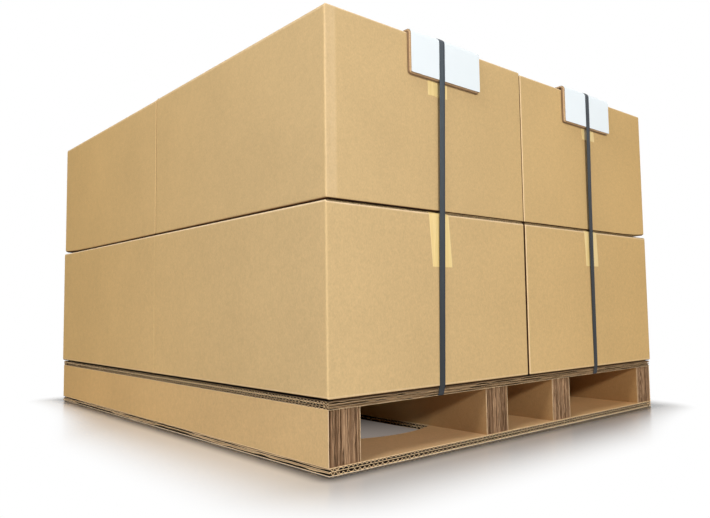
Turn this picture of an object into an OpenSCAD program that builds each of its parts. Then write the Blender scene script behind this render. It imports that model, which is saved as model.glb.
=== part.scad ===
// Corrugated pallet loaded with two layers of cartons, held by two straps over edge guards.
// Millimetres. Z is up, X runs across the front, Y runs to the back.
// The origin is at floor level, in the middle of the pallet.

/* [Pallet] */
// Width of the pallet across the front
pallet_width = 1016; // [900:1:1300]
// Depth of the pallet along the runners
pallet_depth = 1219.2; // [1000:0.1:1400]
// Thickness of the bottom deck
bottom_deck_thickness = 12; // [6:0.5:20]
// Thickness of the top deck
top_deck_thickness = 12.7; // [6:0.1:20]
// Width of a runner
runner_width = 63.5; // [40:0.5:90]
// Height of a runner
runner_height = 85.3; // [60:0.1:120]
// Gap between the two inner runners
centre_gap = 153.4; // [80:0.1:260]
// Shift of the inner runners and the wheel holes to the right
inner_runner_shift = 7; // [-40:1:40]
// Distance of the runner ends behind the deck edges
runner_inset = 1.5; // [0.5:0.1:10]
// Board layers glued into one runner
runner_layers = 12; // [4:1:18]
// Width of the groove between two layers at a runner end
layer_groove = 1.4; // [0.6:0.1:2.5]
// Depth of the groove between two layers at a runner end
layer_groove_depth = 2.5; // [1:0.1:8]
// Fluted layers in the bottom deck
bottom_deck_layers = 2; // [1:1:4]
// Fluted layers in the top deck
top_deck_layers = 3; // [1:1:4]
// Thickness of the flat liners on both sides of a fluted layer
deck_liner = 0.9; // [0.5:0.1:1.2]
// Distance of the fluted layers behind the cut edges of a deck
flute_setback = 1.6; // [0.5:0.1:4]

/* [Wheel holes] */
// Width of a wheel hole
wheel_hole_width = 205; // [120:1:240]
// Length of a wheel hole between its bowed ends
wheel_hole_length = 362; // [260:1:420]
// Radius of the bowed ends of a wheel hole
wheel_hole_bow = 230; // [215:1:400]
// Distance of a wheel hole from the front or back edge
wheel_hole_margin = 124; // [60:1:160]

/* [Cartons] */
// Width of a carton
carton_width = 509; // [440:1:640]
// Depth of a carton
carton_depth = 609; // [500:1:700]
// Height of a carton
carton_height = 310; // [240:1:420]
// Thickness of the carton board
board_thickness = 4; // [2:0.1:7]
// Radius of the soft folds between the left and right walls and the long flaps
long_fold_radius = 6; // [1:0.1:8]
// Radius of the sharp folds between the front and back walls and the short flaps
short_fold_radius = 2.2; // [1:0.1:5]
// Radius of the upright corners
corner_radius = 3.5; // [1:0.1:8]
// Height of the long flaps above the top folds of the short flaps
top_flap_step = 0.8; // [0.3:0.1:4]
// Height of the bottom folds of the short flaps above the long flaps
bottom_flap_step = 4.5; // [1:0.1:7]
// Distance of the upper ends of the long flaps behind the front and back walls
top_flap_setback = 4.5; // [0.5:0.1:8]
// Distance of the lower ends of the long flaps behind the front and back walls
bottom_flap_setback = 2.5; // [0.5:0.1:8]
// Gap between the two long flaps
flap_gap = 3; // [1:0.1:8]
// Depth that a lower carton gains under the load
load_spread = 1.5; // [0:0.1:6]
// Height that a lower carton loses under the load
load_settle = 3; // [0:0.1:8]
// Gap between the lower cartons from left to right
lower_gap_x = 4; // [0.5:0.1:10]
// Gap between the lower cartons from front to back
lower_gap_y = 1; // [1:0.1:10]
// Gap between the upper cartons from left to right
upper_gap_x = 1; // [0.5:0.1:10]
// Gap between the upper cartons from front to back
upper_gap_y = 1.5; // [1.5:0.1:10]

/* [Carton tape] */
// Width of the tape
tape_width = 50.8; // [30:0.1:80]
// Thickness of the tape
tape_thickness = 0.3; // [0.2:0.05:0.6]
// Length of the tape ends on the upper cartons
upper_tape_end = 102; // [40:1:140]
// Length of the tape ends on the left lower cartons
lower_left_tape_end = 98; // [40:1:140]
// Length of the tape ends on the right lower cartons
lower_right_tape_end = 81; // [40:1:140]
// Shift of the tape on the left upper cartons from the middle of the carton
upper_left_tape_shift = 4; // [-20:1:20]
// Shift of the tape on the right upper cartons from the middle of the carton
upper_right_tape_shift = -5; // [-20:1:20]
// Shift of the tape on the left lower cartons from the middle of the carton
lower_left_tape_shift = 0; // [-20:1:20]
// Shift of the tape on the right lower cartons from the middle of the carton
lower_right_tape_shift = -6; // [-20:1:20]

/* [Edge guards] */
// Length of an edge guard
guard_length = 189; // [100:1:300]
// Width of each leg of an edge guard
guard_leg = 76; // [40:1:100]
// Thickness of an edge guard
guard_thickness = 6.5; // [3:0.1:8]
// Outer radius of the bend of an edge guard
guard_bend = 10; // [9:0.1:16]
// Distance of the upright leg of an edge guard from the tape behind it
guard_stand_off = 1.2; // [0:0.1:4]
// Shift of the left guards from their strap
left_guard_shift = 11; // [-40:1:40]
// Shift of the right guards from their strap
right_guard_shift = -2; // [-40:1:40]

/* [Straps] */
// Width of a strap
strap_width = 14; // [10:0.5:25]
// Thickness of a strap
strap_thickness = 0.9; // [0.5:0.1:1.5]
// Shift of the left strap at the top from the middle of its cartons
left_strap_top_shift = 9.5; // [-30:0.5:30]
// Shift of the left strap at the bottom from the middle of its cartons
left_strap_bottom_shift = -2; // [-30:0.5:30]
// Shift of the right strap at the top from the middle of its cartons
right_strap_top_shift = -8.5; // [-30:0.5:30]
// Shift of the right strap at the bottom from the middle of its cartons
right_strap_bottom_shift = -2.5; // [-30:0.5:30]

/* [Hidden] */
// Roundness of the drawn arcs
$fn = 64;
// Length by which a cutting shape runs past the shape it cuts
pass = 1;
// Heights of the stack
runner_base = bottom_deck_thickness;
deck_underside = runner_base + runner_height;
deck_top = deck_underside + top_deck_thickness;
upper_base = deck_top + carton_height - load_settle + tape_thickness;
stack_top = upper_base + carton_height;
// Middles of the runners
inner_runner_x = (centre_gap + runner_width) / 2;
left_inner_runner_x = inner_runner_shift - inner_runner_x;
right_inner_runner_x = inner_runner_shift + inner_runner_x;
outer_runner_x = (pallet_width - runner_width) / 2;
runner_length = pallet_depth - 2 * runner_inset;
layer_pitch = runner_width / runner_layers;
// Middles of the wheel holes
wheel_hole_x = centre_gap / 2 + runner_width + wheel_hole_width / 2;
wheel_hole_y = pallet_depth / 2 - wheel_hole_margin - wheel_hole_length / 2;
// Sizes of the cartons in each layer
lower_size = [carton_width, carton_depth + load_spread, carton_height - load_settle];
upper_size = [carton_width, carton_depth, carton_height];
// Middles of the cartons in each layer
lower_x = (carton_width + lower_gap_x) / 2;
lower_y = (lower_size[1] + lower_gap_y) / 2;
upper_x = (carton_width + upper_gap_x) / 2;
upper_y = (carton_depth + upper_gap_y) / 2;
// Front faces of the pallet and of each layer, as distances from the middle
pallet_front = pallet_depth / 2;
lower_front = lower_y + lower_size[1] / 2;
upper_front = upper_y + carton_depth / 2;
// Faces that the straps run over
guard_front = upper_front + tape_thickness + guard_stand_off + guard_thickness;
guard_top = stack_top + tape_thickness + guard_thickness;
guard_bottom = guard_top - guard_leg;
strap_turn_front = max(lower_front, pallet_front);
strap_turn_height = deck_top + bottom_flap_step;
strap_reach = max(strap_turn_front, guard_front) + strap_thickness;
// Strap positions
left_strap_top_x = left_strap_top_shift - upper_x;
left_strap_bottom_x = left_strap_bottom_shift - upper_x;
right_strap_top_x = right_strap_top_shift + upper_x;
right_strap_bottom_x = right_strap_bottom_shift + upper_x;
// Colours
deck_colour = [0.66, 0.50, 0.34];
runner_colour = [0.52, 0.40, 0.28];
carton_colour = [0.74, 0.58, 0.41];
tape_colour = [0.80, 0.71, 0.49];
guard_colour = [0.94, 0.95, 0.96];
strap_colour = [0.33, 0.36, 0.40];

// Flat shapes

module rounded_rectangle(width, height, radius) {
    square([width - 2 * radius, height], center = true);
    square([width, height - 2 * radius], center = true);
    for (side_x = [-1, 1], side_y = [-1, 1])
        translate([side_x * (width / 2 - radius), side_y * (height / 2 - radius)])
            circle(radius);
}

// A wheel hole has two bowed ends and straight sides, and is grown by the given distance
module wheel_hole_outline(grow) {
    bow_middle = wheel_hole_bow - wheel_hole_length / 2;
    intersection() {
        translate([0, bow_middle])
            circle(wheel_hole_bow + grow);
        translate([0, -bow_middle])
            circle(wheel_hole_bow + grow);
        square([wheel_hole_width + 2 * grow, wheel_hole_length + 2 * (grow + pass)], center = true);
    }
}

// A deck with its wheel holes, drawn back from all cut edges by the given distance
module deck_outline(setback, pierced) {
    difference() {
        square([pallet_width - 2 * setback, pallet_depth - 2 * setback], center = true);
        if (pierced)
            for (side_x = [-1, 1], side_y = [-1, 1])
                translate([inner_runner_shift + side_x * wheel_hole_x, side_y * wheel_hole_y])
                    wheel_hole_outline(setback);
    }
}

// The layers of board show as grooves in both ends of a runner
module runner_outline() {
    difference() {
        square([runner_width, runner_length], center = true);
        for (layer = [1 : runner_layers - 1], end = [-1, 1])
            translate([layer * layer_pitch - runner_width / 2, end * runner_length / 2])
                square([layer_groove, 2 * layer_groove_depth], center = true);
    }
}

// Seen from the side, the walls stand in front of the cut ends of the long flaps
module carton_side_outline(depth, height) {
    top_flap = depth - 2 * top_flap_setback;
    bottom_flap = depth - 2 * bottom_flap_setback;
    translate([0, (bottom_flap_step - top_flap_step) / 2])
        rounded_rectangle(depth, height - bottom_flap_step - top_flap_step, short_fold_radius);
    translate([-top_flap / 2, 0])
        square([top_flap, height / 2]);
    translate([-bottom_flap / 2, -height / 2])
        square([bottom_flap, height / 2]);
}

// Seen from the side, the tape runs over the flap ends and down both walls
module tape_side_outline(end_length, depth, height) {
    wall = depth / 2;
    flap_end = wall - top_flap_setback;
    fold = atan2(top_flap_setback, top_flap_step);
    wall_turn = tape_thickness * tan(fold / 2);
    flap_turn = tape_thickness * tan((90 - fold) / 2);
    outer = wall + tape_thickness;
    fold_height = height - top_flap_step;
    end_height = height - end_length;
    polygon([
        [-wall, end_height],
        [-wall, fold_height],
        [-flap_end, height],
        [flap_end, height],
        [wall, fold_height],
        [wall, end_height],
        [outer, end_height],
        [outer, fold_height + wall_turn],
        [flap_end + flap_turn, height + tape_thickness],
        [-flap_end - flap_turn, height + tape_thickness],
        [-outer, fold_height + wall_turn],
        [-outer, end_height]
    ]);
}

// A block with one rounded corner at the origin
module corner_block(size, radius) {
    translate([-size, -size])
        square([size, size - radius]);
    translate([-size, -size])
        square([size - radius, size]);
    translate([-radius, -radius])
        circle(radius);
}

module guard_outline() {
    difference() {
        corner_block(guard_leg, guard_bend);
        translate([-guard_thickness, -guard_thickness])
            corner_block(guard_leg, guard_bend - guard_thickness);
    }
}

// Outline of everything inside a strap, grown by the given distance
module strap_inside(grow) {
    half = [
        [pallet_front + grow, deck_underside - grow],
        [strap_turn_front + grow, strap_turn_height],
        [guard_front + grow, guard_bottom],
        [guard_front + grow, guard_top - guard_bend],
        [guard_front - guard_bend, guard_top + grow]
    ];
    count = len(half);
    mirrored = [for (index = [1 : count]) [-half[count - index][0], half[count - index][1]]];
    polygon(concat(half, mirrored));
    for (side = [-1, 1])
        translate([side * (guard_front - guard_bend), guard_top - guard_bend])
            circle(guard_bend + grow);
}

module strap_loop_outline() {
    difference() {
        strap_inside(strap_thickness);
        strap_inside(0);
    }
}

// Seen from the front, a strap leans from its bottom place to its top place
module strap_front_outline(top_x, bottom_x) {
    bottom = deck_underside - strap_thickness - pass;
    top = guard_top + strap_thickness + pass;
    polygon([
        [bottom_x - strap_width / 2, bottom],
        [bottom_x + strap_width / 2, bottom],
        [top_x + strap_width / 2, top],
        [top_x - strap_width / 2, top]
    ]);
}

// Extrusions along the two level axes

module along_x(length) {
    rotate([90, 0, 90])
        linear_extrude(length, center = true)
            children();
}

module along_y(length) {
    rotate([90, 0, 0])
        linear_extrude(length, center = true)
            children();
}

// Pieces

// Flat liners stand out past the fluted layers between them at every cut edge
module corrugated_deck(thickness, layers, pierced) {
    liner_pitch = (thickness - deck_liner) / layers;
    linear_extrude(thickness)
        deck_outline(flute_setback, pierced);
    for (liner = [0 : layers])
        translate([0, 0, liner * liner_pitch])
            linear_extrude(deck_liner)
                deck_outline(0, pierced);
}

module bottom_deck() {
    color(deck_colour)
        corrugated_deck(bottom_deck_thickness, bottom_deck_layers, true);
}

module runner(x) {
    color(runner_colour)
        translate([x, 0, runner_base])
            linear_extrude(runner_height)
                runner_outline();
}

module top_deck() {
    color(deck_colour)
        translate([0, 0, deck_underside])
            corrugated_deck(top_deck_thickness, top_deck_layers, false);
}

module flap_slot(floor_height, depth) {
    translate([-flap_gap / 2, -depth / 2 - pass, floor_height])
        cube([flap_gap, depth + 2 * pass, board_thickness + pass]);
}

module carton(place, size) {
    color(carton_colour)
        translate(place)
            difference() {
                intersection() {
                    translate([0, 0, -pass])
                        linear_extrude(size[2] + 2 * pass)
                            rounded_rectangle(size[0], size[1], corner_radius);
                    translate([0, 0, size[2] / 2])
                        along_y(size[1] + 2 * pass)
                            rounded_rectangle(size[0], size[2], long_fold_radius);
                    translate([0, 0, size[2] / 2])
                        along_x(size[0] + 2 * pass)
                            carton_side_outline(size[1], size[2]);
                }
                flap_slot(size[2] - board_thickness, size[1]);
                flap_slot(-pass, size[1]);
            }
}

module tape(place, shift, end_length, size) {
    color(tape_colour)
        translate(place)
            translate([shift, 0, 0])
                along_x(tape_width)
                    tape_side_outline(end_length, size[1], size[2]);
}

module edge_guard(x) {
    color(guard_colour)
        translate([x, guard_front, guard_top])
            along_x(guard_length)
                guard_outline();
}

module strap(top_x, bottom_x) {
    color(strap_colour)
        intersection() {
            translate([bottom_x, 0, 0])
                along_x(carton_width)
                    strap_loop_outline();
            along_y(2 * (strap_reach + pass))
                strap_front_outline(top_x, bottom_x);
        }
}

// Pieces in their places

module runner_left_outer() {
    runner(-outer_runner_x);
}

module runner_left_inner() {
    runner(left_inner_runner_x);
}

module runner_right_inner() {
    runner(right_inner_runner_x);
}

module runner_right_outer() {
    runner(outer_runner_x);
}

module carton_lower_front_left() {
    carton([-lower_x, -lower_y, deck_top], lower_size);
}

module carton_lower_front_right() {
    carton([lower_x, -lower_y, deck_top], lower_size);
}

module carton_lower_back_left() {
    carton([-lower_x, lower_y, deck_top], lower_size);
}

module carton_lower_back_right() {
    carton([lower_x, lower_y, deck_top], lower_size);
}

module carton_upper_front_left() {
    carton([-upper_x, -upper_y, upper_base], upper_size);
}

module carton_upper_front_right() {
    carton([upper_x, -upper_y, upper_base], upper_size);
}

module carton_upper_back_left() {
    carton([-upper_x, upper_y, upper_base], upper_size);
}

module carton_upper_back_right() {
    carton([upper_x, upper_y, upper_base], upper_size);
}

module tape_lower_front_left() {
    tape([-lower_x, -lower_y, deck_top], lower_left_tape_shift, lower_left_tape_end, lower_size);
}

module tape_lower_front_right() {
    tape([lower_x, -lower_y, deck_top], lower_right_tape_shift, lower_right_tape_end, lower_size);
}

module tape_lower_back_left() {
    tape([-lower_x, lower_y, deck_top], lower_left_tape_shift, lower_left_tape_end, lower_size);
}

module tape_lower_back_right() {
    tape([lower_x, lower_y, deck_top], lower_right_tape_shift, lower_right_tape_end, lower_size);
}

module tape_upper_front_left() {
    tape([-upper_x, -upper_y, upper_base], upper_left_tape_shift, upper_tape_end, upper_size);
}

module tape_upper_front_right() {
    tape([upper_x, -upper_y, upper_base], upper_right_tape_shift, upper_tape_end, upper_size);
}

module tape_upper_back_left() {
    tape([-upper_x, upper_y, upper_base], upper_left_tape_shift, upper_tape_end, upper_size);
}

module tape_upper_back_right() {
    tape([upper_x, upper_y, upper_base], upper_right_tape_shift, upper_tape_end, upper_size);
}

module edge_guard_front_left() {
    mirror([0, 1, 0])
        edge_guard(left_strap_top_x + left_guard_shift);
}

module edge_guard_front_right() {
    mirror([0, 1, 0])
        edge_guard(right_strap_top_x + right_guard_shift);
}

module edge_guard_back_left() {
    edge_guard(left_strap_top_x + left_guard_shift);
}

module edge_guard_back_right() {
    edge_guard(right_strap_top_x + right_guard_shift);
}

module strap_left() {
    strap(left_strap_top_x, left_strap_bottom_x);
}

module strap_right() {
    strap(right_strap_top_x, right_strap_bottom_x);
}

bottom_deck();
runner_left_outer();
runner_left_inner();
runner_right_inner();
runner_right_outer();
top_deck();
carton_lower_front_left();
carton_lower_front_right();
carton_lower_back_left();
carton_lower_back_right();
carton_upper_front_left();
carton_upper_front_right();
carton_upper_back_left();
carton_upper_back_right();
tape_lower_front_left();
tape_lower_front_right();
tape_lower_back_left();
tape_lower_back_right();
tape_upper_front_left();
tape_upper_front_right();
tape_upper_back_left();
tape_upper_back_right();
edge_guard_front_left();
edge_guard_front_right();
edge_guard_back_left();
edge_guard_back_right();
strap_left();
strap_right();
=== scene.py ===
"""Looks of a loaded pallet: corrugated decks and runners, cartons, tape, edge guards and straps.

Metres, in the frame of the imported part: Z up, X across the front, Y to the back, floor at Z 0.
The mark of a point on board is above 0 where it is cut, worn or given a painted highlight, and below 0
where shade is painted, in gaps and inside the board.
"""

import math
from types import SimpleNamespace

import bmesh
import bpy
import numpy as np
from mathutils import Matrix, Vector


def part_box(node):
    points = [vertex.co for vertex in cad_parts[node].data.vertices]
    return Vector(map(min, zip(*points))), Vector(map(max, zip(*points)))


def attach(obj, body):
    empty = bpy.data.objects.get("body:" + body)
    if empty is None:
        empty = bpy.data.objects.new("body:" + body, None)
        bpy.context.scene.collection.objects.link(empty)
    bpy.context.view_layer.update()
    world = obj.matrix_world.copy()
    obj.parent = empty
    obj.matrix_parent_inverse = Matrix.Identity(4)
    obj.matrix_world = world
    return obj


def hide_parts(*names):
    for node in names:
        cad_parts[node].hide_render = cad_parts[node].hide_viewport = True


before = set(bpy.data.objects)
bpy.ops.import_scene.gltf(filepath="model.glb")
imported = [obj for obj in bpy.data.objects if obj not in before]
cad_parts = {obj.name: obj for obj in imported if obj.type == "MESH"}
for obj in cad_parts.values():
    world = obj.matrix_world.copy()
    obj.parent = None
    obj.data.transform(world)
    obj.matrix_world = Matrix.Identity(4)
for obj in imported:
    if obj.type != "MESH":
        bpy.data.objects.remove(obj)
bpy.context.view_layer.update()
MM = 0.001
FULL_TURN = 2 * math.pi
QUARTER_TURN = math.pi / 2

# Paper layers of the board, and how deep a cut edge keeps its own shade
LINER = 0.6 * MM
MEDIUM = 0.7 * MM
CUT_DEPTH = 0.4 * MM

# Mesh building

WAVE_STRENGTHS = (0.5, 0.3, 0.2)
WAVE_SPEED = 0.35


def wobble(seed, along):
    """Smooth seeded unevenness between about -1 and 1; one turn is about one unit along."""
    rng = np.random.default_rng(seed)
    total = 0.0
    for strength in WAVE_STRENGTHS:
        start = rng.uniform(0, FULL_TURN)
        speed = rng.uniform(0.6, 1.4) * WAVE_SPEED / strength
        total = total + strength * np.sin(start + np.asarray(along) * speed * FULL_TURN)
    return total


def notches(seed, along):
    """Smooth seeded unevenness between about 0 and 1."""
    return 0.5 + 0.5 * wobble(seed, along)


def grid_of(x, y, z):
    """A grid of points; each coordinate is given for every point, row or column, or once."""
    return np.stack(np.broadcast_arrays(x, y, z), axis=-1)


def thin_sheet(grid, thickness, closed=False):
    """Points and faces of a sheet of even thickness whose middle runs through a grid of points."""
    rows, columns = grid.shape[:2]
    if closed:
        along = np.roll(grid, -1, 0) - np.roll(grid, 1, 0)
    else:
        along = np.gradient(grid, axis=0)
    normal = np.cross(along, np.gradient(grid, axis=1))
    normal /= np.linalg.norm(normal, axis=2, keepdims=True) + 1e-12
    offset = normal * thickness / 2
    points = np.concatenate([(grid + offset).reshape(-1, 3), (grid - offset).reshape(-1, 3)])
    index = np.arange(rows * columns).reshape(rows, columns)
    if closed:
        index = np.concatenate([index, index[:1]])
    under = index + rows * columns
    faces = []

    def strip(a, b, c, d):
        faces.extend(np.stack([a.ravel(), b.ravel(), c.ravel(), d.ravel()], 1).tolist())

    strip(index[:-1, :-1], index[1:, :-1], index[1:, 1:], index[:-1, 1:])
    strip(under[:-1, :-1], under[:-1, 1:], under[1:, 1:], under[1:, :-1])
    strip(index[:-1, 0], under[:-1, 0], under[1:, 0], index[1:, 0])
    strip(index[:-1, -1], index[1:, -1], under[1:, -1], under[:-1, -1])
    if not closed:
        strip(index[0, :-1], index[0, 1:], under[0, 1:], under[0, :-1])
        strip(index[-1, :-1], under[-1, :-1], under[-1, 1:], index[-1, 1:])
    return points, faces


class Shape:
    """Gathers sheets and shells into one mesh, each with its own finish."""

    def __init__(self):
        self.points = []
        self.faces = []
        self.slots = []
        self.marks = []
        self.count = 0

    def add(self, points, faces, slot=0, mark=0.0):
        self.points.append(np.asarray(points, float))
        self.marks.append(np.broadcast_to(np.asarray(mark, float), (len(points),)))
        self.faces.extend([[corner + self.count for corner in face] for face in faces])
        self.slots.extend([slot] * len(faces))
        self.count += len(points)

    def sheet(self, grid, thickness, slot=0, closed=False, mark=0.0, under=None):
        """Adds a sheet; mark is for the side that its normal points to, and under for the other side."""
        points, faces = thin_sheet(grid, thickness, closed)
        sides = [mark, mark if under is None else under]
        marks = [np.broadcast_to(side, grid.shape[:2]).reshape(-1) for side in sides]
        self.add(points, faces, slot, np.concatenate(marks))

    def block(self, low, high, slot):
        corners = [(x, y, z) for z in (low.z, high.z) for y in (low.y, high.y) for x in (low.x, high.x)]
        faces = [(0, 2, 3, 1), (4, 5, 7, 6), (0, 1, 5, 4), (2, 6, 7, 3), (0, 4, 6, 2), (1, 3, 7, 5)]
        self.add(corners, faces, slot)

    def build(self, name, finishes, sharp_degrees=38.0):
        mesh = bpy.data.meshes.new(name)
        mesh.from_pydata(np.concatenate(self.points).tolist(), [], self.faces)
        mesh.polygons.foreach_set("material_index", self.slots)
        mark = mesh.attributes.new("mark", "FLOAT", "POINT")
        mark.data.foreach_set("value", np.concatenate(self.marks))
        for finish in finishes:
            mesh.materials.append(finish)
        shell = bmesh.new()
        shell.from_mesh(mesh)
        bmesh.ops.recalc_face_normals(shell, faces=shell.faces)
        shell.to_mesh(mesh)
        shell.free()
        mesh.polygons.foreach_set("use_smooth", [True] * len(mesh.polygons))
        mesh.set_sharp_from_angle(angle=math.radians(sharp_degrees))
        mesh.update()
        piece = bpy.data.objects.new(name, mesh)
        bpy.context.scene.collection.objects.link(piece)
        return piece


def place(piece, node):
    """Puts a finished piece on the part in place of a CAD node."""
    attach(piece, "root")
    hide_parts(node)


# Shader building

class Value:
    """A shader socket that takes part in Python arithmetic by adding Math nodes."""

    def __init__(self, graph, socket):
        self.graph = graph
        self.socket = socket

    def __add__(self, other):
        return self.graph.math("ADD", self, other)

    __radd__ = __add__

    def __sub__(self, other):
        return self.graph.math("SUBTRACT", self, other)

    def __rsub__(self, other):
        return self.graph.math("SUBTRACT", other, self)

    def __neg__(self):
        return 0.0 - self

    def __mul__(self, other):
        return self.graph.math("MULTIPLY", self, other)

    __rmul__ = __mul__

    def __pow__(self, other):
        return self.graph.math("POWER", self, other)

    def __abs__(self):
        return self.graph.math("ABSOLUTE", self)

    def sine(self):
        return self.graph.math("SINE", self)

    def highest(self, other):
        return self.graph.math("MAXIMUM", self, other)

    def lowest(self, other):
        return self.graph.math("MINIMUM", self, other)

    def limited(self):
        """Kept between 0 and 1."""
        return self.highest(0.0).lowest(1.0)

    def rise(self, start, end):
        """0 before start, 1 after end, and smooth between them."""
        settings = {"interpolation_type": "SMOOTHSTEP"}
        sockets = {"Value": self, "From Min": start, "From Max": end}
        return self.graph.add("ShaderNodeMapRange", settings, sockets)


class Graph:
    """One material's nodes, ending in a Principled shader."""

    def __init__(self, name, **constants):
        self.material = bpy.data.materials.new(name)
        self.material.use_nodes = True
        self.tree = self.material.node_tree
        self.shader = self.tree.nodes["Principled BSDF"]
        for socket, value in constants.items():
            self.shader.inputs[socket.replace("_", " ")].default_value = value

    def feed(self, socket, value):
        if isinstance(value, Value):
            self.tree.links.new(value.socket, socket)
        elif isinstance(value, tuple) and socket.type == "RGBA":
            socket.default_value = (*value, 1.0)
        else:
            socket.default_value = value

    def add(self, kind, settings=None, sockets=None, output=0):
        node = self.tree.nodes.new(kind)
        for name, value in (settings or {}).items():
            setattr(node, name, value)
        for name, value in (sockets or {}).items():
            self.feed(node.inputs[name], value)
        return Value(self, node.outputs[output])

    def math(self, operation, first, second=0.0):
        return self.add("ShaderNodeMath", {"operation": operation}, {0: first, 1: second})

    def mix(self, factor, first, second, blend="MIX"):
        settings = {"data_type": "RGBA", "blend_type": blend}
        return self.add("ShaderNodeMix", settings, {0: factor, 6: first, 7: second}, output=2)

    def vector(self, operation, first, second):
        return self.add("ShaderNodeVectorMath", {"operation": operation}, {0: first, 1: second})

    def position(self):
        return self.add("ShaderNodeNewGeometry", output="Position")

    def local(self):
        return self.add("ShaderNodeTexCoord", output="Object")

    def axes(self, vector):
        parts = self.add("ShaderNodeSeparateXYZ", sockets={0: vector}).socket.node.outputs
        return [Value(self, part) for part in parts]

    def noise(self, vector, scale, detail=2.0, roughness=0.5, stretch=None):
        if stretch:
            vector = self.vector("MULTIPLY", vector, stretch)
        sockets = {"Vector": vector, "Scale": scale, "Detail": detail, "Roughness": roughness}
        return self.add("ShaderNodeTexNoise", sockets=sockets)

    def mark(self):
        return self.add("ShaderNodeAttribute", {"attribute_name": "mark"}, output="Fac")

    def bump(self, height, distance, strength):
        sockets = {"Height": height, "Distance": distance, "Strength": strength}
        return self.add("ShaderNodeBump", sockets=sockets)

    def finish(self, **sockets):
        for name, value in sockets.items():
            self.feed(self.shader.inputs[name.replace("_", " ")], value)
        return self.material


# Colours

KRAFT = (0.616, 0.421, 0.188)
# Painted shade: a darker copy of the kraft for runner sides that face a fork lane
KRAFT_LANE_SHADED = (0.36, 0.208, 0.085)
# Pale folds, corners and seams: worn board with painted highlight
KRAFT_EDGE = (0.92, 0.71, 0.46)
KRAFT_DECK = (0.64, 0.405, 0.192)
# Painted light on kraft: a paler, cooler sheen towards the near corner and warmer light further off
NEAR_SHEEN = (0.97, 1.0, 1.10)
FAR_WARM_LIGHT = (1.06, 1.0, 0.88)
RUNNER_TINT = (1.0, 0.96, 0.93)
CUT_CREAM = (0.95, 0.69, 0.40)
# Painted shade: near-black paper inside the flutes of the board
CELL_LIGHT = (0.026, 0.012, 0.006)
CELL_DARK = (0.008, 0.004, 0.002)
# Painted shade in gaps between cartons, under folds and inside the board
GAP_SHADE_BROWN = (0.17, 0.072, 0.020)
GAP_SHADE_DARK = (0.040, 0.014, 0.004)
# Torn flutes at the deck edges: streaked pulp in dark tones of painted shade among the flutes
TORN_LIGHT = (0.30, 0.165, 0.075)
TORN_DARK = (0.085, 0.042, 0.018)
# Runner ends: liners and flutes in dark tones of painted shade among the open flutes, cream where cut
RUNNER_LIGHT = (0.208, 0.110, 0.053)
RUNNER_DARK = (0.076, 0.036, 0.0162)
RUNNER_CREAM = (0.55, 0.35, 0.20)
# Painted shade: the dark block inside a runner, behind its open flutes
CORE_LIGHT = (0.12, 0.058, 0.026)
CORE_DARK = (0.064, 0.030, 0.013)
PULP_LIGHT = (0.68, 0.48, 0.285)
PULP_DARK = (0.48, 0.32, 0.18)
# Painted shade on some plies of a guard's cut end
PULP_SHADED = (0.16, 0.088, 0.042)
GUARD_GREY = (0.79, 0.845, 0.867)
GUARD_WHITE = (0.84, 0.89, 0.91)
# Painted light: the right guards' paper is made brighter
GUARD_PAINTED_LIGHT = 1.09
TAPE_DEEP = (0.79, 0.575, 0.225)
TAPE_PALE = (0.87, 0.665, 0.30)
TAPE_BLOTCH = (0.76, 0.57, 0.27)
TAPE_EDGE_HIGHLIGHT = (0.92, 0.76, 0.45)
STRAP_DARK = (0.055, 0.067, 0.079)
STRAP_SCUFFED = (0.092, 0.110, 0.125)
# Painted shade of the strap: low down and to the right, and on its right side
STRAP_SHADED = (0.024, 0.027, 0.030)
STRAP_SIDE_SHADE = (0.016, 0.022, 0.036)

# Finishes

CARTON_FLUTE = 7.8 * MM
CLOUDS = 0.34
MOTTLE = 0.40
FIBRES = 0.70
# Where the painted sheen gives way to the warmer painted light, along X plus Y
SHEEN_REACH = (-1.25, 0.25)
# How the painted light and shade of the fork lanes grow inwards from the lane mouths
LANE_MOUTH = 0.56
LANE_FADE = 0.45
LEFT_LANE_EDGE = (-0.13, -0.05)
LANE_SHADE = 0.70
STRAP_WAFFLE = 1.6 * MM
LAYERED = (3.0, 3.0, 0.16)
UPRIGHT_TEARS = (0.22, 0.22, 4.0)
ACROSS_PLIES = (0.3, 3.0, 3.0)
EVEN_GRAIN = (1.0, 1.0, 1.0)


def scaled(colour, factor):
    return tuple(channel * factor for channel in colour)


def tinted(colour, tint):
    return tuple(channel * factor for channel, factor in zip(colour, tint))


def kraft_shade(graph, colour, contrast=1.0):
    """Colour and bump height of kraft paper: cloudy patches, mottling, short fibres and specks, with
    painted light.
    """
    place_at = graph.position()
    clouds = graph.noise(place_at, 5.0, 3.0)
    mottle = graph.noise(place_at, 95.0, 4.0, 0.68)
    fibres = graph.noise(place_at, 420.0, 3.0, 0.65, (1.0, 1.0, 0.6))
    specks = graph.noise(place_at, 650.0, 1.0).rise(0.66, 0.78)
    shade = (clouds - 0.5) * (CLOUDS * contrast) + (mottle - 0.5) * (MOTTLE * contrast)
    shade = shade + (fibres - 0.5) * (FIBRES * contrast) + 0.5
    x, y, z = graph.axes(place_at)
    # Painted light: sheen towards the near corner, warmer light towards the far ends
    tone = graph.mix((x + y).rise(*SHEEN_REACH), tinted(colour, NEAR_SHEEN), tinted(colour, FAR_WARM_LIGHT))
    tone = graph.mix(1.0, tone, shade.rise(0.0, 1.0) * 0.37 + 0.80, "MULTIPLY")
    tone = graph.mix(specks * (0.20 * contrast), tone, scaled(colour, 0.55))
    height = fibres * 0.6 + mottle * 0.4
    return tone, height, fibres


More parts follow.
